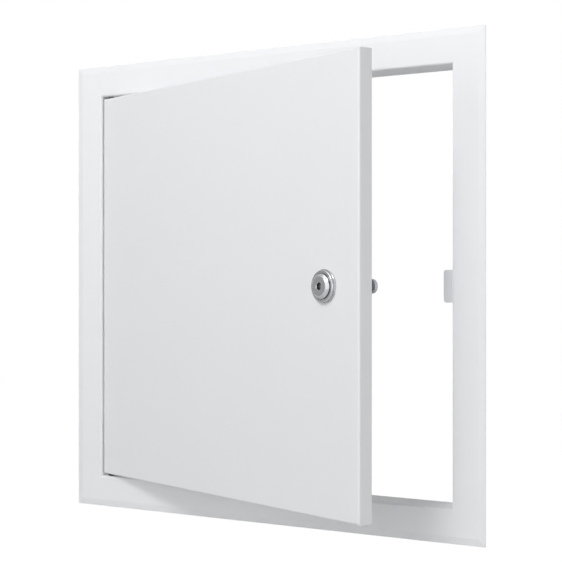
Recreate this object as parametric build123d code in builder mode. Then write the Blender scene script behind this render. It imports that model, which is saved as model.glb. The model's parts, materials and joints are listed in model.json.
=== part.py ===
from build123d import *
import os

# A flush access panel: a mitred sheet-steel frame, a folded door pan on two hidden
# pivot pins, and a cam lock that reaches behind a strike tab on the frame.
# All sizes are millimetres. +Z is up, the room is on the -Y side, the wall face is Y = 0,
# and the origin is on the back of the sill flange, half way along it.

# Frame: flange, bevelled rim and jamb, bent from one sheet
frame_outer = 356.0
flange_width = 24.5
frame_sheet = 1.5
rim_bevel_width = 5.0
rim_bevel_drop = 0.9
frame_bend_radius = 1.8
jamb_depth = 25.4

# Screw holes in the side jambs
screw_hole_radius = 3.0
screw_hole_spacing = 200.0
screw_hole_setback = 7.9

# Door: a folded pan, open at the back, shown ajar
reveal = 1.8
door_sheet = 1.2
door_depth = 11.3
door_bend_radius = 1.6
ajar_angle = 19.5

# Pivot pins at the hinge corners of the door
pivot_inset = 5.0
pivot_depth = 4.5
pin_head_radius = 2.0
pin_head_height = 1.0
pin_neck_radius = 1.5
pin_shoulder_radius = 2.5
pin_spigot_radius = 1.75
pin_overrun = 0.3
pin_tip_chamfer = 0.5

# Strike tab on the lock jamb
strike_reach = 12.0
strike_height = 23.0
strike_sheet = 1.5
strike_foot_length = 10.5
strike_bend_radius = 2.0
strike_corner_radius = 2.0
strike_door_gap = 2.2

# Cam lock, with depths counted from the door face
lock_backset = 32.7
collar_radius = 11.2
collar_thickness = 1.0
collar_chamfer = 0.4
ring_radius = 10.6
ring_height = 1.8
ring_chamfer = 0.5
recess_depth = 0.8
barrel_radius = 8.0
barrel_flats = 14.0
barrel_length = 16.7
lock_washer_radius = 12.0
lock_washer_thickness = 1.2
lock_nut_flats = 22.0
lock_nut_height = 5.0
plug_face_radius = 6.3
plug_head_radius = 8.25
plug_head_height = 0.8
plug_bevel_height = 1.5
plug_shank_radius = 5.0
socket_flats = 4.5
socket_depth = 4.0
tail_width = 8.0
stud_radius = 3.0
stud_overrun = 1.0
cam_thickness = 2.5
cam_reach = 30.0
cam_hub_radius = 8.0
cam_tip_radius = 4.75
cam_washer_radius = 6.5
cam_washer_thickness = 1.0
cam_nut_flats = 10.0
cam_nut_height = 4.0
hex_sides = 6

# Clearances
bore_clearance = 0.06
slip_clearance = 0.2
end_clearance = 0.3
groove_width = 0.4

# Places worked out from the sizes above
frame_half = frame_outer / 2
opening_half = frame_half - flange_width
door_half = opening_half - reveal
door_size = 2 * door_half
jamb_back = jamb_depth - frame_sheet
centre = Vector(0, 0, opening_half + flange_width / 2)
across, into_wall, up = Vector(1, 0, 0), Vector(0, 1, 0), Vector(0, 0, 1)

# The door face's plane: x runs to the free edge, y up, z out to the room
pivot = centre + across * (pivot_inset - door_half) + into_wall * (pivot_depth - frame_sheet)
door_plane = Plane(pivot, x_dir=across, z_dir=-into_wall).rotated((0, 0, -ajar_angle))
face_centre = door_plane.from_local_coords(Vector(door_half - pivot_inset, 0, pivot_depth))
face_plane = Plane(face_centre, x_dir=door_plane.x_dir, z_dir=door_plane.z_dir)

# The lock's planes: one on the door face, and one through the lock's axis
lock_point = face_plane.from_local_coords(Vector(door_half - lock_backset, 0, 0))
lock_plane = Plane(lock_point, x_dir=face_plane.x_dir, z_dir=face_plane.z_dir)
lock_section = Plane(lock_point, x_dir=face_plane.x_dir, z_dir=-up)
lock_axis = Axis(lock_point, face_plane.z_dir)
ring_front = collar_thickness + ring_height
recess_floor = ring_front - recess_depth
cam_front = barrel_length + end_clearance
cam_back = cam_front + cam_thickness
cam_washer_back = cam_back + cam_washer_thickness
lock_washer_back = door_sheet + lock_washer_thickness


def frame_member(outward, along, bore_planes, bore_radius):
    # One mitred side of the frame: bevelled flange, bend and jamb, with round holes in the jamb
    bend_corner = (opening_half, -frame_sheet)
    inner_corner = (opening_half + frame_sheet, 0)
    with BuildPart() as member:
        with BuildSketch(Plane(centre, x_dir=outward, z_dir=along)) as section:
            with BuildLine():
                Polyline(
                    (frame_half, 0),
                    (frame_half, rim_bevel_drop - frame_sheet),
                    (frame_half - rim_bevel_width, -frame_sheet),
                    bend_corner,
                    (opening_half, jamb_back),
                    (opening_half + frame_sheet, jamb_back),
                    inner_corner,
                    close=True,
                )
            make_face()
            for corner, radius in (
                (bend_corner, frame_bend_radius),
                (inner_corner, frame_bend_radius - frame_sheet),
            ):
                fillet(section.vertices().sort_by_distance(corner)[0], radius)
        extrude(amount=frame_half, both=True)
        for end in (along, -along):
            split(bisect_by=Plane(centre, z_dir=end - outward), keep=Keep.BOTTOM)
        with Locations(*bore_planes):
            Hole(bore_radius)
    return member


def jamb_screw_planes(outward):
    # Two screw places on a side jamb, level with each other about its middle
    setback = into_wall * (jamb_back - screw_hole_setback)
    return [
        Plane(centre + outward * opening_half + setback + up * height, z_dir=outward)
        for height in (-screw_hole_spacing / 2, screw_hole_spacing / 2)
    ]


pivot_bore_radius = pin_spigot_radius + bore_clearance
pivot_bore_plane = Plane(pivot, z_dir=up)
frame_head = frame_member(up, -across, [pivot_bore_plane], pivot_bore_radius)
frame_sill = frame_member(-up, across, [pivot_bore_plane], pivot_bore_radius)
hinge_jamb = frame_member(-across, -up, jamb_screw_planes(-across), screw_hole_radius)
lock_jamb = frame_member(across, up, jamb_screw_planes(across), screw_hole_radius)

# Strike: an angle with its foot on the lock jamb and its tab across the cam's path
strike_front = door_depth - frame_sheet + strike_door_gap
strike_heel = (opening_half, strike_front)
strike_inner = (opening_half - strike_sheet, strike_front + strike_sheet)
strike_tip_x = opening_half - strike_reach
with BuildPart() as strike_bracket:
    with BuildSketch(Plane.XY.offset(centre.Z)) as strike_section:
        with BuildLine():
            Polyline(
                strike_heel,
                (opening_half, strike_front + strike_foot_length),
                (opening_half - strike_sheet, strike_front + strike_foot_length),
                strike_inner,
                (strike_tip_x, strike_front + strike_sheet),
                (strike_tip_x, strike_front),
                close=True,
            )
        make_face()
        for bend, radius in (
            (strike_heel, strike_bend_radius),
            (strike_inner, strike_bend_radius - strike_sheet),
        ):
            fillet(strike_section.vertices().sort_by_distance(bend)[0], radius)
    extrude(amount=strike_height / 2, both=True)
    tab_end = strike_bracket.faces().sort_by(Axis.X)[0]
    fillet(tab_end.edges().filter_by(Axis.Y), strike_corner_radius)


def pivot_pin(outward):
    # A turned pin riveted into the pan's edge, turning in the frame on its spigot
    seat = pivot + outward * door_half
    shoulder_top = reveal - end_clearance
    tip = reveal + frame_sheet + pin_overrun
    with BuildPart() as pin:
        with BuildSketch(Plane(seat, x_dir=across, z_dir=across.cross(outward))):
            with BuildLine():
                Polyline(
                    (0, -door_sheet - pin_head_height),
                    (pin_head_radius, -door_sheet - pin_head_height),
                    (pin_head_radius, -door_sheet),
                    (pin_neck_radius, -door_sheet),
                    (pin_neck_radius, 0),
                    (pin_shoulder_radius, 0),
                    (pin_shoulder_radius, shoulder_top),
                    (pin_spigot_radius, shoulder_top),
                    (pin_spigot_radius, tip - pin_tip_chamfer),
                    (pin_spigot_radius - pin_tip_chamfer, tip),
                    (0, tip),
                    close=True,
                )
            make_face()
        revolve(axis=Axis(seat, outward))
    return pin


upper_pivot_pin = pivot_pin(up)
lower_pivot_pin = pivot_pin(-up)


def lock_plate(outline, bore_radius, back, thickness):
    # A flat piece round the lock's barrel or stud, standing forward from its back depth
    with BuildPart() as plate:
        with BuildSketch(lock_plane.offset(-back)):
            add(outline)
            Circle(bore_radius, mode=Mode.SUBTRACT)
        extrude(amount=thickness)
    return plate


def round_outline(radius):
    with BuildSketch() as outline:
        Circle(radius)
    return outline.sketch


def hex_outline(flats):
    # A hexagon with a flat side towards the door's free edge
    with BuildSketch() as outline:
        RegularPolygon(flats / 2, hex_sides, major_radius=False, rotation=180 / hex_sides)
    return outline.sketch


def barrel_outline(clearance):
    # A round barrel with two flats, which stop the lock from turning in the door
    with BuildSketch() as outline:
        Circle(barrel_radius + clearance)
        Rectangle(2 * collar_radius, barrel_flats + 2 * clearance, mode=Mode.INTERSECT)
    return outline.sketch


# Door pan: a tray with folded edges and seamed corners, cut for the lock and bored for the pins
door_axis = Axis(pivot, face_plane.z_dir)
with BuildPart() as door_pan:
    with BuildSketch(face_plane):
        Rectangle(door_size, door_size)
    extrude(amount=-door_depth)
    fillet(door_pan.faces().sort_by(door_axis)[-1].edges(), door_bend_radius)
    offset(amount=-door_sheet, openings=door_pan.faces().sort_by(door_axis)[0])
    with BuildSketch(lock_plane):
        add(barrel_outline(slip_clearance))
    extrude(amount=-door_sheet, mode=Mode.SUBTRACT)
    with Locations(pivot_bore_plane):
        Hole(pin_neck_radius + bore_clearance)

# Lock housing: a ring on the collar, recessed for the plug, and a barrel through the door
with BuildPart() as lock_housing:
    with BuildSketch(lock_plane.offset(collar_thickness)):
        Circle(ring_radius)
    extrude(amount=ring_height)
    chamfer(lock_housing.faces().sort_by(lock_axis)[-1].edges(), ring_chamfer)
    with BuildSketch(lock_plane.offset(-barrel_length)):
        add(barrel_outline(0))
    extrude(amount=barrel_length + collar_thickness)
    with BuildSketch(lock_plane.offset(ring_front)):
        Circle(plug_head_radius + groove_width)
    extrude(amount=-recess_depth, mode=Mode.SUBTRACT)
    with Locations(lock_plane):
        Hole(plug_shank_radius + bore_clearance)

# Collar under the ring, and the washer and nut that clamp the lock to the pan
barrel_hole_radius = barrel_radius + bore_clearance
lock_collar = lock_plate(round_outline(collar_radius), barrel_hole_radius, 0, collar_thickness)
with lock_collar:
    collar_front = lock_collar.faces().sort_by(lock_axis)[-1]
    chamfer(collar_front.outer_wire().edges(), collar_chamfer)
lock_washer = lock_plate(
    round_outline(lock_washer_radius), barrel_hole_radius, lock_washer_back, lock_washer_thickness
)
lock_nut = lock_plate(
    hex_outline(lock_nut_flats), barrel_hole_radius, lock_washer_back + lock_nut_height, lock_nut_height
)

# Plug: bevelled head with a key socket, a round shank, a square tail and a stud
bevel_foot = ring_front + plug_head_height
plug_front = bevel_foot + plug_bevel_height
plug_seat = recess_floor + end_clearance
stud_end = cam_washer_back + cam_nut_height + stud_overrun
with BuildPart() as lock_plug:
    with BuildSketch(lock_section):
        with BuildLine():
            Polyline(
                (0, -cam_front),
                (plug_shank_radius, -cam_front),
                (plug_shank_radius, plug_seat),
                (plug_head_radius, plug_seat),
                (plug_head_radius, bevel_foot),
                (plug_face_radius, plug_front),
                (0, plug_front),
                close=True,
            )
        make_face()
    revolve(axis=lock_axis)
    with BuildSketch(lock_plane.offset(plug_front)):
        add(hex_outline(socket_flats))
    extrude(amount=-socket_depth, mode=Mode.SUBTRACT)
    with BuildSketch(lock_plane.offset(-cam_back)):
        Rectangle(tail_width, tail_width)
    extrude(amount=cam_thickness)
    with BuildSketch(lock_plane.offset(-stud_end)):
        Circle(stud_radius)
    extrude(amount=stud_end - cam_back)

# Cam: a tapered arm with a round tip, turned out towards the strike
with BuildPart() as cam_lever:
    with BuildSketch(lock_plane.offset(-cam_back)):
        Circle(cam_hub_radius)
        with Locations((cam_reach - cam_tip_radius, 0)):
            Circle(cam_tip_radius)
        make_hull()
        Rectangle(tail_width + slip_clearance, tail_width + slip_clearance, mode=Mode.SUBTRACT)
    extrude(amount=cam_thickness)

stud_hole_radius = stud_radius + bore_clearance
cam_washer = lock_plate(
    round_outline(cam_washer_radius), stud_hole_radius, cam_washer_back, cam_washer_thickness
)
cam_nut = lock_plate(
    hex_outline(cam_nut_flats), stud_hole_radius, cam_washer_back + cam_nut_height, cam_nut_height
)

pieces = {
    "frame_head": frame_head,
    "frame_sill": frame_sill,
    "hinge_jamb": hinge_jamb,
    "lock_jamb": lock_jamb,
    "strike_bracket": strike_bracket,
    "door_pan": door_pan,
    "upper_pivot_pin": upper_pivot_pin,
    "lower_pivot_pin": lower_pivot_pin,
    "lock_collar": lock_collar,
    "lock_housing": lock_housing,
    "lock_washer": lock_washer,
    "lock_nut": lock_nut,
    "lock_plug": lock_plug,
    "cam_lever": cam_lever,
    "cam_washer": cam_washer,
    "cam_nut": cam_nut,
}
os.makedirs("parts", exist_ok=True)
for name, piece in pieces.items():
    piece.part.label = name
    export_step(piece.part, f"parts/{name}.step")
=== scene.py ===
import bpy
import bmesh
import json
import math
from mathutils import Matrix, Vector


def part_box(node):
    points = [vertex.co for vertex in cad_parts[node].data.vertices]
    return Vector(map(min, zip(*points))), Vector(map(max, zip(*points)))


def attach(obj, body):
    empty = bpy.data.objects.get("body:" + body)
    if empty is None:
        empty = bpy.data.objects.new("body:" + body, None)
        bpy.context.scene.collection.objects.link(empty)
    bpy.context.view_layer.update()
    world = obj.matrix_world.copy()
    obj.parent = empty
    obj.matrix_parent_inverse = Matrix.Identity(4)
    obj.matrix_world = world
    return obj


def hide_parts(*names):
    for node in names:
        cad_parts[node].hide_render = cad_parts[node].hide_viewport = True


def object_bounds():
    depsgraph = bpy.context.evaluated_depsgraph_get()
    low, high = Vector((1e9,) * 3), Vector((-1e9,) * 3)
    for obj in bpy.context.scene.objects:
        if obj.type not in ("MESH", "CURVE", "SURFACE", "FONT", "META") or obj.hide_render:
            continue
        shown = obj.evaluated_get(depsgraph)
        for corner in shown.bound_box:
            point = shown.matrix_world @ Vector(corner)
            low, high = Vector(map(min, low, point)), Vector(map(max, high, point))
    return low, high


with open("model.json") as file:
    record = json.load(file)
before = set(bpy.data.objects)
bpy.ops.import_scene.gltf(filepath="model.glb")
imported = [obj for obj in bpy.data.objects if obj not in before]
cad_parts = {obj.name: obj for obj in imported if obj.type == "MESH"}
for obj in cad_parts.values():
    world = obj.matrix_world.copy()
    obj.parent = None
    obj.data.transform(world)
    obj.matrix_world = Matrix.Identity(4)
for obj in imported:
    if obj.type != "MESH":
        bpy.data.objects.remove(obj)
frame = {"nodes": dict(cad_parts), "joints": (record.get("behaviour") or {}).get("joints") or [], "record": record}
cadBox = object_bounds()  # the solids' box, before anything is added
nodes = frame["nodes"]
joints = {joint["name"]: joint for joint in frame["joints"]}
mm = 0.001
weldMm = 0.0005  # points closer than this are one
pickMm = 0.01  # how near a point must lie to a circle or level to count as on it
hairMm = 0.01  # between two closed shells of one piece, so that they don't share a face
roundSteps = 96  # sides of a large turned circle
print("frame loaded:", len(nodes), "nodes")


# Small helpers

def hexColour(code):
    # sRGB hex to the linear colour a shader takes
    parts = [int(code[i:i + 2], 16) / 255 for i in (1, 3, 5)]
    linear = [p / 12.92 if p <= 0.04045 else ((p + 0.055) / 1.055) ** 2.4 for p in parts]
    return (*linear, 1.0)


def addNode(tree, kind, values=None, links=None, **settings):
    # one shader node with its settings, socket values and incoming links
    node = tree.nodes.new(kind)
    for name, value in settings.items():
        setattr(node, name, value)
    for socket, value in (values or {}).items():
        node.inputs[socket].default_value = value
    for socket, source in (links or {}).items():
        tree.links.new(source, node.inputs[socket])
    return node


def newMaterial(name):
    material = bpy.data.materials.new(name)
    material.use_nodes = True
    material.node_tree.nodes.clear()
    return material, material.node_tree


def perMetre(sizeInMm):
    # a texture's scale from the size of one of its features
    return 1 / (sizeInMm * mm)


def finishPiece(bm, name, place, material, smoothAngle=35):
    # local millimetres to the shared frame, then a smooth-shaded object at the origin
    bmesh.ops.remove_doubles(bm, verts=bm.verts, dist=weldMm)
    bmesh.ops.recalc_face_normals(bm, faces=bm.faces)
    bmesh.ops.transform(bm, matrix=place @ Matrix.Scale(mm, 4), verts=bm.verts)
    mesh = bpy.data.meshes.new(name)
    bm.to_mesh(mesh)
    bm.free()
    mesh.materials.append(material)
    mesh.shade_smooth()
    mesh.set_sharp_from_angle(angle=math.radians(smoothAngle))
    piece = bpy.data.objects.new(name, mesh)
    bpy.context.scene.collection.objects.link(piece)
    return piece


def dress(piece, body, node):
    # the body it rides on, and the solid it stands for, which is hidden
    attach(piece, body)
    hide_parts(node)


def turn(bm, profile, steps=roundSteps):
    # a profile of (radius, height) points turned about the local Z axis
    verts = [bm.verts.new((radius, 0, height)) for radius, height in profile]
    edges = [bm.edges.new(pair) for pair in zip(verts, verts[1:] + verts[:1])]
    bmesh.ops.spin(bm, geom=verts + edges, cent=(0, 0, 0), axis=(0, 0, 1),
                   angle=2 * math.pi, steps=steps, use_merge=True)


# Materials

coat = {
    "warm": "#f0f1f2",  # the two whites drift into each other over a hand's breadth
    "cool": "#eef0f3",
    "driftMm": 70.0,
    "peelMm": 2.6,  # real orange peel is about 1 mm, drawn coarser so that it shows
    "peelHeightMm": 0.012,
    "roughLow": 0.46,
    "roughHigh": 0.56,
}


def powderCoat():
    # white polyester powder coat, sprayed and baked: satin, very even, a faint orange peel in its gloss
    material, tree = newMaterial("whitePowderCoat")
    where = addNode(tree, "ShaderNodeTexCoord").outputs["Object"]
    drift = addNode(tree, "ShaderNodeTexNoise", {"Scale": perMetre(coat["driftMm"]), "Detail": 1.0},
                    {"Vector": where})
    colour = addNode(tree, "ShaderNodeMix", {"A": hexColour(coat["warm"]), "B": hexColour(coat["cool"])},
                     {"Factor": drift.outputs["Fac"]}, data_type="RGBA")
    peel = addNode(tree, "ShaderNodeTexNoise",
                   {"Scale": perMetre(coat["peelMm"]), "Detail": 1.5, "Roughness": 0.4}, {"Vector": where})
    bump = addNode(tree, "ShaderNodeBump", {"Strength": 1.0, "Distance": coat["peelHeightMm"] * mm},
                   {"Height": peel.outputs["Fac"]})
    rough = addNode(tree, "ShaderNodeMapRange", {"To Min": coat["roughLow"], "To Max": coat["roughHigh"]},
                    {"Value": peel.outputs["Fac"]})
    shader = addNode(tree, "ShaderNodeBsdfPrincipled", {"IOR": 1.5},
                     {"Base Color": colour.outputs["Result"], "Roughness": rough.outputs["Result"],
                      "Normal": bump.outputs["Normal"]})
    addNode(tree, "ShaderNodeOutputMaterial", links={"Surface": shader.outputs["BSDF"]})
    return material


lockPoint = Vector(joints["lock_turn"]["pos_m"])
lockInward = Vector(joints["lock_turn"]["axis"])
doorAcross = Vector((lockInward.y, -lockInward.x, 0))
lockPlace = Matrix((  # the lock's own frame: X to the free edge, Y up, Z out of the door face
    (doorAcross.x, 0, -lockInward.x, lockPoint.x),
    (doorAcross.y, 0, -lockInward.y, lockPoint.y),
    (0, 1, 0, lockPoint.z),
    (0, 0, 0, 1),
))

plate = {
    "light": "#b7b8bb",
    "dark": "#aaabae",
    "toolMarkMm": 0.35,  # a turning tool's feed, drawn about three times as coarse so that it shows
    "toolMarkDepthMm": 0.004,
    "cloudMm": 6.0,
    "roughLow": 0.16,
    "roughHigh": 0.24,
}
waveRadians = 20  # what the wave node counts to the unit


def satinChrome():
    # die-cast zinc turned on its face, then nickel-chrome plated: bright, with faint rings from the tool
    material, tree = newMaterial("satinChromePlate")
    where = addNode(tree, "ShaderNodeTexCoord").outputs["Object"]
    turned = lockPlace.inverted()
    centred = addNode(tree, "ShaderNodeMapping",
                      {"Location": turned.to_translation(), "Rotation": turned.to_euler()},
                      {"Vector": where})
    rings = addNode(tree, "ShaderNodeTexWave",
                    {"Scale": perMetre(plate["toolMarkMm"]) * 2 * math.pi / waveRadians,
                     "Distortion": 0.4, "Detail": 1.0, "Detail Scale": 2.0},
                    {"Vector": centred.outputs["Vector"]}, wave_type="RINGS", rings_direction="Z")
    cloud = addNode(tree, "ShaderNodeTexNoise", {"Scale": perMetre(plate["cloudMm"]), "Detail": 2.0},
                    {"Vector": where})
    colour = addNode(tree, "ShaderNodeMix", {"A": hexColour(plate["light"]), "B": hexColour(plate["dark"])},
                     {"Factor": cloud.outputs["Fac"]}, data_type="RGBA")
    bump = addNode(tree, "ShaderNodeBump", {"Strength": 1.0, "Distance": plate["toolMarkDepthMm"] * mm},
                   {"Height": rings.outputs["Fac"]})
    rough = addNode(tree, "ShaderNodeMapRange", {"To Min": plate["roughLow"], "To Max": plate["roughHigh"]},
                    {"Value": cloud.outputs["Fac"]})
    shader = addNode(tree, "ShaderNodeBsdfPrincipled", {"Metallic": 1.0},
                     {"Base Color": colour.outputs["Result"], "Roughness": rough.outputs["Result"],
                      "Normal": bump.outputs["Normal"]})
    addNode(tree, "ShaderNodeOutputMaterial", links={"Surface": shader.outputs["BSDF"]})
    return material


zinc = {
    "bright": "#b4b7ba",
    "dull": "#9c9fa4",
    "spangleMm": 1.6,
    "grainMm": 0.5,  # the blasted blank's grain, drawn coarse so that it shows
    "grainHeightMm": 0.006,
    "roughLow": 0.52,
    "roughHigh": 0.66,
}
gapShadeZinc = {  # the same plate painted much darker for the pivots: painted shade for the hinge gap they sit in
    "bright": "#5b5d61",
    "dull": "#3f4145",
    "spangleMm": 1.2,
    "grainMm": 0.5,
    "grainHeightMm": 0.004,
    "roughLow": 0.4,
    "roughHigh": 0.55,
}


def zincPlate(name, look):
    # pressed or turned steel, bright zinc plated: bluish grey with cloudy patches and a fine grain
    material, tree = newMaterial(name)
    where = addNode(tree, "ShaderNodeTexCoord").outputs["Object"]
    cloud = addNode(tree, "ShaderNodeTexNoise", {"Scale": perMetre(look["spangleMm"]), "Detail": 3.0},
                    {"Vector": where})
    colour = addNode(tree, "ShaderNodeMix", {"A": hexColour(look["bright"]), "B": hexColour(look["dull"])},
                     {"Factor": cloud.outputs["Fac"]}, data_type="RGBA")
    grain = addNode(tree, "ShaderNodeTexNoise", {"Scale": perMetre(look["grainMm"]), "Detail": 2.0},
                    {"Vector": where})
    bump = addNode(tree, "ShaderNodeBump", {"Strength": 1.0, "Distance": look["grainHeightMm"] * mm},
                   {"Height": grain.outputs["Fac"]})
    rough = addNode(tree, "ShaderNodeMapRange", {"To Min": look["roughLow"], "To Max": look["roughHigh"]},
                    {"Value": cloud.outputs["Fac"]})
    shader = addNode(tree, "ShaderNodeBsdfPrincipled", {"Metallic": 1.0},
                     {"Base Color": colour.outputs["Result"], "Roughness": rough.outputs["Result"],
                      "Normal": bump.outputs["Normal"]})
    addNode(tree, "ShaderNodeOutputMaterial", links={"Surface": shader.outputs["BSDF"]})
    return material


coatMaterial = powderCoat()
chromeMaterial = satinChrome()
zincMaterial = zincPlate("zincPlatedSteel", zinc)
# the pivots' zinc is painted dark: painted shade, so that the hinge gap stays dark
pinMaterial = zincPlate("zincPlateGapShade", gapShadeZinc)
finishes = {"powder_coat": coatMaterial, "chrome_plate": chromeMaterial, "zinc_plate": zincMaterial}
for subpart in frame["record"]["subparts"]:
    cadMesh = nodes[subpart["node"]].data
    cadMesh.materials.clear()
    cadMesh.materials.append(finishes[subpart["material_slot"]])
print("finishes set:", ", ".join(m.name for m in finishes.values()))


# Lock and pins, modelled in millimetres in their own frames

def ringEdges(bm, radius, height):
    # the edges of one turned circle
    def onIt(vert):
        away = abs(math.hypot(vert.co.x, vert.co.y) - radius)
        return away < pickMm and abs(vert.co.z - height) < pickMm
    return [edge for edge in bm.edges if onIt(edge.verts[0]) and onIt(edge.verts[1])]


def soften(bm, edges, width, segments=3):
    bmesh.ops.bevel(bm, geom=edges, offset=width, offset_type="OFFSET", segments=segments,
                    profile=0.5, affect="EDGES", material=-1, clamp_overlap=True)


def loop(bm, sides, radius, height, cuts=0, turned=0.0):
    # a closed ring of edges: a circle, or a polygon with its sides divided
    bearings = [math.radians(turned) + 2 * math.pi * side / sides for side in range(sides + 1)]
    corners = [Vector((radius * math.cos(a), radius * math.sin(a), height)) for a in bearings]
    verts = [bm.verts.new(start.lerp(end, cut / (cuts + 1)))
             for start, end in zip(corners, corners[1:]) for cut in range(cuts + 1)]
    return [bm.edges.new(pair) for pair in zip(verts, verts[1:] + verts[:1])]


def plateBetween(bm, outer, inner, thickness):
    # a flat ring between two edge loops, raised to a closed plate
    faces = bmesh.ops.bridge_loops(bm, edges=outer + inner)["faces"]
    raised = bmesh.ops.extrude_face_region(bm, geom=faces)["geom"]
    top = [item for item in raised if isinstance(item, bmesh.types.BMVert)]
    bmesh.ops.translate(bm, verts=top, vec=(0, 0, thickness))


thread = {"crest": 0.08, "foot": 0.46, "steps": 40}  # a ridge's half widths in pitches, and sides to a turn


def wind(bm, major, depth, pitch, start, end):
    # a thread's ridge wound round the Z axis from one height to another
    flat, foot = pitch * thread["crest"], pitch * thread["foot"]
    ridge = [(major - depth, -foot), (major, -flat), (major, flat), (major - depth, foot)]
    verts = [bm.verts.new((radius, 0, start + height)) for radius, height in ridge]
    edges = [bm.edges.new(pair) for pair in zip(verts, verts[1:] + verts[:1])]
    turns = (end - start) / pitch
    total = int(turns * thread["steps"])
    wound = bmesh.ops.spin(bm, geom=verts + edges, cent=(0, 0, 0), axis=(0, 0, 1),
                           angle=2 * math.pi * turns, dvec=(0, 0, (end - start) / total), steps=total)
    last = [item for item in wound["geom_last"] if isinstance(item, bmesh.types.BMVert)]
    bm.faces.new(verts)
    bmesh.ops.contextual_create(bm, geom=last)


collar = {"radius": 11.2, "bore": 8.06, "thickness": 1.0, "chamfer": 0.25, "edge": 0.08}


def lockCollar():
    bm = bmesh.new()
    r, t, c = collar["radius"], collar["thickness"], collar["chamfer"]
    turn(bm, [(collar["bore"], 0), (r, 0), (r, t - c), (r - c, t), (collar["bore"], t)])
    soften(bm, ringEdges(bm, r, t - c) + ringEdges(bm, r - c, t), collar["edge"])
    piece = finishPiece(bm, "lockCollar", lockPlace, chromeMaterial)
    dress(piece, "door", "lock_collar")


housing = {
    "ringRadius": 10.6, "ringFoot": 1.0, "ringFront": 2.8, "ringChamfer": 0.5, "edge": 0.2,
    "recessRadius": 8.65, "recessFloor": 2.0, "bore": 5.06,
    "barrelRadius": 8.0, "barrelEnd": -16.7, "barrelFlats": 14.0, "endChamfer": 0.5, "barrelSteps": 72,
    "threadStart": -15.9, "threadEnd": -2.0, "threadPitch": 1.0, "threadDepth": 0.55,
}


def lockHousing():
    h = housing
    bm = bmesh.new()
    core = h["barrelRadius"] - h["threadDepth"]  # the thread stands on this
    wall = core - h["endChamfer"]
    turn(bm, [(h["bore"], h["barrelEnd"]), (wall, h["barrelEnd"]), (core, h["barrelEnd"] + h["endChamfer"]),
              (core, h["ringFoot"]), (h["bore"], h["ringFoot"])], steps=h["barrelSteps"])
    wind(bm, h["barrelRadius"], h["threadDepth"], h["threadPitch"], h["threadStart"], h["threadEnd"])
    for side in (1, -1):  # two flats keep the lock from turning in the door
        cut = bmesh.ops.bisect_plane(bm, geom=bm.verts[:] + bm.edges[:] + bm.faces[:],
                                     plane_co=(0, side * h["barrelFlats"] / 2, 0), plane_no=(0, side, 0),
                                     clear_outer=True)["geom_cut"]
        rim = [item for item in cut if isinstance(item, bmesh.types.BMEdge)]
        bmesh.ops.holes_fill(bm, edges=rim, sides=0)
    r, front, c = h["ringRadius"], h["ringFront"], h["ringChamfer"]
    recess, foot = h["recessRadius"], h["ringFoot"] + hairMm
    turn(bm, [(h["bore"], foot), (r, foot), (r, front - c), (r - c, front), (recess, front),
              (recess, h["recessFloor"]), (h["bore"], h["recessFloor"])])
    for radius, height in ((r, front - c), (r - c, front), (recess, front)):
        soften(bm, ringEdges(bm, radius, height), h["edge"])
    piece = finishPiece(bm, "lockHousing", lockPlace, chromeMaterial)
    dress(piece, "door", "lock_housing")


plug = {
    "seat": 2.3, "headRadius": 8.25, "bevelFoot": 3.6, "faceRadius": 6.3, "front": 5.1, "edge": 0.3,
    "shankRadius": 5.0, "shankEnd": -17.0, "socketFlats": 4.5, "socketDepth": 4.0, "socketEdge": 0.45,
    "tailWidth": 8.0, "tailEnd": -19.5, "tailEdge": 0.3,
    "studRadius": 3.0, "studEnd": -25.5, "studChamfer": 0.6, "studSteps": 48,
    "threadPitch": 1.0, "threadDepth": 0.5, "threadInset": 0.2, "threadRunout": 0.5,
}
sidesOfHex, hexTurned = 6, 30  # degrees, which stands two of its flats upright
sidesOfSquare, squareTurned = 4, 45


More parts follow.
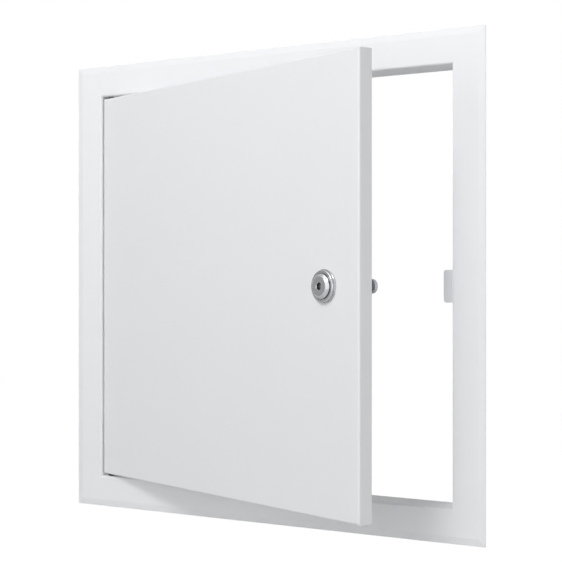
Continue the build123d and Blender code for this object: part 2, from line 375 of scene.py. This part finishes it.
def lockPlug():
    p = plug
    bm = bmesh.new()
    socketRadius = p["socketFlats"] / 2 / math.cos(math.pi / sidesOfHex)
    rim = loop(bm, roundSteps, p["faceRadius"], p["front"])
    mouth = loop(bm, sidesOfHex, socketRadius, p["front"], roundSteps // sidesOfHex - 1, hexTurned)
    bmesh.ops.bridge_loops(bm, edges=rim + mouth)
    walls = bmesh.ops.extrude_edge_only(bm, edges=mouth)["geom"]
    floorVerts = [item for item in walls if isinstance(item, bmesh.types.BMVert)]
    bmesh.ops.translate(bm, verts=floorVerts, vec=(0, 0, -p["socketDepth"]))
    bmesh.ops.contextual_create(bm, geom=floorVerts)
    # the head and shank behind the face, one turned circle after another
    edge = rim
    for radius, height in ((p["headRadius"], p["bevelFoot"]), (p["headRadius"], p["seat"]),
                           (p["shankRadius"], p["seat"]), (p["shankRadius"], p["shankEnd"])):
        nextEdge = loop(bm, roundSteps, radius, height)
        bmesh.ops.bridge_loops(bm, edges=edge + nextEdge)
        edge = nextEdge
    bmesh.ops.contextual_create(bm, geom=edge)
    soften(bm, mouth, p["socketEdge"], 2)
    soften(bm, ringEdges(bm, p["faceRadius"], p["front"]), p["edge"])
    soften(bm, ringEdges(bm, p["headRadius"], p["bevelFoot"]), p["edge"])
    # square tail for the cam, then the threaded stud for its nut
    tail = bmesh.ops.create_cube(bm, size=1.0)["verts"]
    tailLength = p["shankEnd"] - p["tailEnd"]
    bmesh.ops.scale(bm, verts=tail, vec=(p["tailWidth"], p["tailWidth"], tailLength))
    bmesh.ops.translate(bm, verts=tail, vec=(0, 0, p["shankEnd"] - tailLength / 2 - hairMm))
    tailEdges = {edge for vert in tail for edge in vert.link_edges}
    upright = [edge for edge in tailEdges if abs(edge.verts[0].co.z - edge.verts[1].co.z) > pickMm]
    soften(bm, upright, p["tailEdge"], 2)
    core = p["studRadius"] - p["threadDepth"]
    turn(bm, [(0, p["tailEnd"]), (core, p["tailEnd"]), (core, p["studEnd"] + p["studChamfer"]),
              (core - p["studChamfer"], p["studEnd"]), (0, p["studEnd"])], steps=p["studSteps"])
    wind(bm, p["studRadius"], p["threadDepth"], p["threadPitch"],
         p["studEnd"] + p["studChamfer"] + p["threadInset"], p["tailEnd"] - p["threadRunout"])
    piece = finishPiece(bm, "lockPlug", lockPlace, chromeMaterial)
    dress(piece, "cam", "lock_plug")


cam = {
    "back": -19.5, "thickness": 2.5, "reach": 30.0, "hubRadius": 8.0, "tipRadius": 4.75, "hole": 8.2,
    "holeMargin": 0.5, "edge": 0.45,
    "edgeAngle": 1.0,  # radians: only the square rims are softened
}


def camLever():
    bm = bmesh.new()
    outline = loop(bm, roundSteps, cam["hubRadius"], cam["back"])
    tipAway = cam["reach"] - cam["tipRadius"]
    tangent = math.acos((cam["hubRadius"] - cam["tipRadius"]) / tipAway)
    for vert in {vert for edge in outline for vert in edge.verts}:  # the ring's near half becomes the tip
        bearing = math.atan2(vert.co.y, vert.co.x)
        if abs(bearing) < tangent:
            vert.co.x = tipAway + cam["tipRadius"] * math.cos(bearing)
            vert.co.y = cam["tipRadius"] * math.sin(bearing)
    hole = loop(bm, sidesOfSquare, cam["hole"] / math.sqrt(2), cam["back"], roundSteps // sidesOfSquare - 1,
                squareTurned)
    plateBetween(bm, outline, hole, cam["thickness"])

    def beyondHole(edge):
        farthest = [max(abs(vert.co[axis]) for vert in edge.verts) for axis in (0, 1)]
        return sum(farthest) > cam["hole"] + cam["holeMargin"]
    rims = [edge for edge in bm.edges if edge.verts[0].co.z == edge.verts[1].co.z
            and edge.calc_face_angle(0) > cam["edgeAngle"] and beyondHole(edge)]
    soften(bm, rims, cam["edge"])
    piece = finishPiece(bm, "camLever", lockPlace, zincMaterial)
    dress(piece, "cam", "cam_lever")


clamps = {  # washers and nuts behind the door: outer size, bore, back depth and thickness
    "lockWasher": {"radius": 12.0, "bore": 8.06, "back": -2.4, "thickness": 1.2,
                   "body": "door", "node": "lock_washer"},
    "lockNut": {"flats": 22.0, "bore": 8.06, "back": -7.4, "thickness": 5.0,
                "body": "door", "node": "lock_nut"},
    "camWasher": {"radius": 6.5, "bore": 3.06, "back": -20.5, "thickness": 1.0,
                  "body": "cam", "node": "cam_washer"},
    "camNut": {"flats": 10.0, "bore": 3.06, "back": -24.5, "thickness": 4.0,
               "body": "cam", "node": "cam_nut"},
}
nutChamfer = 30.0  # degrees, on the corners of both faces
chamferStart = 0.98  # the circle it starts on, as a share of the flats
washerEdge = 0.25  # as a share of the thickness


def clampPiece(name, size):
    bm = bmesh.new()
    bottom, top = size["back"], size["back"] + size["thickness"]
    inner = loop(bm, roundSteps, size["bore"], bottom)
    if "flats" in size:
        corner = size["flats"] / 2 / math.cos(math.pi / sidesOfHex)
        outer = loop(bm, sidesOfHex, corner, bottom, roundSteps // sidesOfHex - 1, hexTurned)
        plateBetween(bm, outer, inner, size["thickness"])
        turnedTo = size["flats"] / 2 * chamferStart
        for vert in bm.verts:
            beyond = math.hypot(vert.co.x, vert.co.y) - turnedTo
            if beyond > 0:
                lowered = beyond * math.tan(math.radians(nutChamfer))
                vert.co.z += lowered if abs(vert.co.z - bottom) < pickMm else -lowered
    else:
        plateBetween(bm, loop(bm, roundSteps, size["radius"], bottom), inner, size["thickness"])
        rims = ringEdges(bm, size["radius"], bottom) + ringEdges(bm, size["radius"], top)
        soften(bm, rims, size["thickness"] * washerEdge, 2)
    piece = finishPiece(bm, name, lockPlace, zincMaterial)
    dress(piece, size["body"], size["node"])


pin = {
    "sheet": 1.2, "headRadius": 2.0, "headHeight": 1.0,
    "crownRadius": 1.4, "crownDrop": 0.08, "domeHeight": 0.6,  # the head's dome
    "neckRadius": 1.5, "shoulderRadius": 2.5, "shoulderTop": 1.5,
    "spigotRadius": 1.75, "tip": 3.6, "tipChamfer": 0.5, "edge": 0.15, "steps": 48,
}


def pivotPin(name, node, up):
    # heights count outwards from the pan's edge, where the shoulder sits
    p = pin
    low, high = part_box(node)
    foot = -p["sheet"] - p["headHeight"]
    seat = (low.z if up > 0 else high.z) - up * foot * mm
    place = Matrix.Translation(((low.x + high.x) / 2, (low.y + high.y) / 2, seat))
    if up < 0:
        place = place @ Matrix.Rotation(math.pi, 4, "X")
    bm = bmesh.new()
    turn(bm, [(0, foot), (p["crownRadius"], foot + p["crownDrop"]), (p["headRadius"], foot + p["domeHeight"]),
              (p["headRadius"], -p["sheet"]), (p["neckRadius"], -p["sheet"]), (p["neckRadius"], 0),
              (p["shoulderRadius"], 0), (p["shoulderRadius"], p["shoulderTop"]),
              (p["spigotRadius"], p["shoulderTop"]), (p["spigotRadius"], p["tip"] - p["tipChamfer"]),
              (p["spigotRadius"] - p["tipChamfer"], p["tip"]), (0, p["tip"])], steps=p["steps"])
    soften(bm, ringEdges(bm, p["shoulderRadius"], p["shoulderTop"]), p["edge"], 2)
    piece = finishPiece(bm, name, place, pinMaterial)
    dress(piece, "door", node)


lockCollar()
lockHousing()
lockPlug()
camLever()
for clampName, clampSize in clamps.items():
    clampPiece(clampName, clampSize)
pivotPin("upperPivotPin", "upper_pivot_pin", 1)
pivotPin("lowerPivotPin", "lower_pivot_pin", -1)
print("lock and pins modelled")


# Stage: floor, white surround and soft lamps

stage = {
    "floorDrop": 0.35,  # the panel hangs in a wall, so the floor lies well below it
    "floorSize": 9.0,
    "floorColour": "#e4e4e4",
    "floorRough": 0.9,
    "glowNearShaded": 0.55,  # camera and mirrors see the floor lifted to white; lifted less round the panel's foot, which paints a soft grey patch of shade there so the lamps' shadow shows
    "glowFar": 0.92,
    "shadowReach": 0.95,  # metres from the panel's foot
    "whiteFrom": 1.45,
}
white = (1, 1, 1, 1)
panelMiddle = (cadBox[0] + cadBox[1]) / 2


def fromMiddle(azimuth, elevation):
    # direction from the panel's middle, 0 degrees to the room and 90 to the right
    bearing, above = math.radians(azimuth), math.radians(elevation)
    across = math.cos(above)
    return Vector((math.sin(bearing) * across, -math.cos(bearing) * across, math.sin(above)))


def seenDirectly(tree):
    # 1 for camera, glossy and transmission rays, which show the white surround
    path = addNode(tree, "ShaderNodeLightPath")
    direct = addNode(tree, "ShaderNodeMath", None,
                     {0: path.outputs["Is Camera Ray"], 1: path.outputs["Is Glossy Ray"]},
                     operation="MAXIMUM")
    seen = addNode(tree, "ShaderNodeMath", None,
                   {0: direct.outputs[0], 1: path.outputs["Is Transmission Ray"]}, operation="MAXIMUM")
    return seen.outputs[0]


def whiteWorld():
    world = bpy.data.worlds.new("studioSurround")
    world.use_nodes = True
    tree = world.node_tree
    tree.nodes.clear()
    surround = addNode(tree, "ShaderNodeBackground", {"Color": white}, {"Strength": seenDirectly(tree)})
    addNode(tree, "ShaderNodeOutputWorld", links={"Surface": surround.outputs[0]})
    bpy.context.scene.world = world


def paleFloor():
    material, tree = newMaterial("paleFloor")
    level = cadBox[0].z - stage["floorDrop"]
    where = addNode(tree, "ShaderNodeTexCoord").outputs["Object"]
    away = addNode(tree, "ShaderNodeVectorMath", {1: (panelMiddle.x, panelMiddle.y, level)}, {0: where},
                   operation="DISTANCE")
    # the glow dims towards the panel's foot: painted shade, a soft grey patch round where its shadow falls
    lift = addNode(tree, "ShaderNodeMapRange",
                   {"From Min": stage["shadowReach"], "From Max": stage["whiteFrom"],
                    "To Min": stage["glowNearShaded"], "To Max": stage["glowFar"]},
                   {"Value": away.outputs["Value"]}, interpolation_type="SMOOTHSTEP")
    glow = addNode(tree, "ShaderNodeMath", None, {0: seenDirectly(tree), 1: lift.outputs["Result"]},
                   operation="MULTIPLY")
    shader = addNode(tree, "ShaderNodeBsdfPrincipled",
                     {"Base Color": hexColour(stage["floorColour"]), "Roughness": stage["floorRough"],
                      "Emission Color": white}, {"Emission Strength": glow.outputs[0]})
    addNode(tree, "ShaderNodeOutputMaterial", links={"Surface": shader.outputs["BSDF"]})
    bm = bmesh.new()
    bmesh.ops.create_grid(bm, x_segments=1, y_segments=1, size=stage["floorSize"] / 2 / mm)
    floor = finishPiece(bm, "floor", Matrix.Translation((0, 0, level)), material)


card = {  # a dark card to the left, which only mirrors see: it gives the chrome its grey
    "azimuth": -72, "elevation": 4, "distance": 1.2, "width": 1.5, "height": 1.3, "tone": 0.6,
}


def darkCard():
    material, tree = newMaterial("darkCard")
    glow = addNode(tree, "ShaderNodeEmission", {"Color": white, "Strength": card["tone"]})
    addNode(tree, "ShaderNodeOutputMaterial", links={"Surface": glow.outputs[0]})
    bm = bmesh.new()
    bmesh.ops.create_grid(bm, x_segments=1, y_segments=1, size=0.5 / mm)  # a metre square, then stretched
    bmesh.ops.scale(bm, verts=bm.verts, vec=(card["width"], card["height"], 1))
    towards = fromMiddle(card["azimuth"], card["elevation"])
    facing = towards.to_track_quat("Z", "Y").to_matrix().to_4x4()
    place = Matrix.Translation(panelMiddle + towards * card["distance"]) @ facing
    piece = finishPiece(bm, "darkCard", place, material)
    piece.visible_camera = piece.visible_diffuse = piece.visible_transmission = piece.visible_shadow = False


lamps = {  # degrees round and above the panel's middle, distance and size in metres, power in watts
    "wideFront": {"azimuth": 10, "elevation": 10, "distance": 2.0, "size": 2.2, "power": 10.3},
    "highKey": {"azimuth": 0, "elevation": 40, "distance": 1.6, "size": 0.5, "power": 10.25},
    "closeTop": {"azimuth": 0, "elevation": 66, "distance": 0.9, "size": 0.8, "power": 1.6},
    "rightFill": {"azimuth": 75, "elevation": 0, "distance": 1.9, "size": 1.2, "power": 10.3},
    "leftFill": {"azimuth": -50, "elevation": 10, "distance": 1.9, "size": 1.2, "power": 6.4},
    "backSpot": {"azimuth": 180, "elevation": 0, "distance": 2.0, "size": 0.5, "power": 48.0,
                 "beam": 21},  # a beam in degrees makes a spot, which leaves the floor alone
    "backSideSpot": {"azimuth": 246, "elevation": 9, "distance": 2.0, "size": 0.5, "power": 60.0,
                     "beam": 21},
}
beamBlend = 0.4  # the share of a spot's cone over which it fades


def softLamps():
    for name, lamp in lamps.items():
        towards = fromMiddle(lamp["azimuth"], lamp["elevation"])
        if "beam" in lamp:
            light = bpy.data.lights.new(name, "SPOT")
            light.spot_size, light.spot_blend = math.radians(lamp["beam"]), beamBlend
            light.shadow_soft_size = lamp["size"] / 2
        else:
            light = bpy.data.lights.new(name, "AREA")
            light.shape, light.size = "DISK", lamp["size"]
        light.energy = lamp["power"]
        holder = bpy.data.objects.new(name, light)
        holder.location = panelMiddle + towards * lamp["distance"]
        holder.rotation_euler = towards.to_track_quat("Z", "Y").to_euler()
        bpy.context.scene.collection.objects.link(holder)


whiteWorld()
paleFloor()
darkCard()
softLamps()
print("stage set:", ", ".join(lamps))


# Camera, fitted to the photograph's corners: level, to the right of the panel, at its middle height

view = {
    "imagePx": 562,
    "focalPx": 1299.8,
    "horizonPx": 286.25,  # rows from the top
    "azimuth": 30.934,  # degrees round to the right
    "distance": 0.976428,  # metres along the view to the frame's origin
    "sideways": 0.013119,
    "height": 0.16575,
    "sensorMm": 36.0,
    "clip": (0.01, 50),
}


def photoCamera():
    data = bpy.data.cameras.new("photoCamera")
    data.sensor_width = view["sensorMm"]
    data.lens = view["focalPx"] * view["sensorMm"] / view["imagePx"]
    data.shift_y = (view["horizonPx"] - view["imagePx"] / 2) / view["imagePx"]
    data.clip_start, data.clip_end = view["clip"]
    camera = bpy.data.objects.new("photoCamera", data)
    swing = math.radians(view["azimuth"])
    right = Vector((math.cos(swing), math.sin(swing), 0))
    ahead = Vector((-math.sin(swing), math.cos(swing), 0))
    camera.location = right * view["sideways"] - ahead * view["distance"] + Vector((0, 0, view["height"]))
    camera.rotation_euler = (math.radians(90), 0, swing)
    bpy.context.scene.collection.objects.link(camera)
    bpy.context.scene.camera = camera


photoCamera()
bpy.context.scene.view_settings.view_transform = "Standard"
print("camera set")
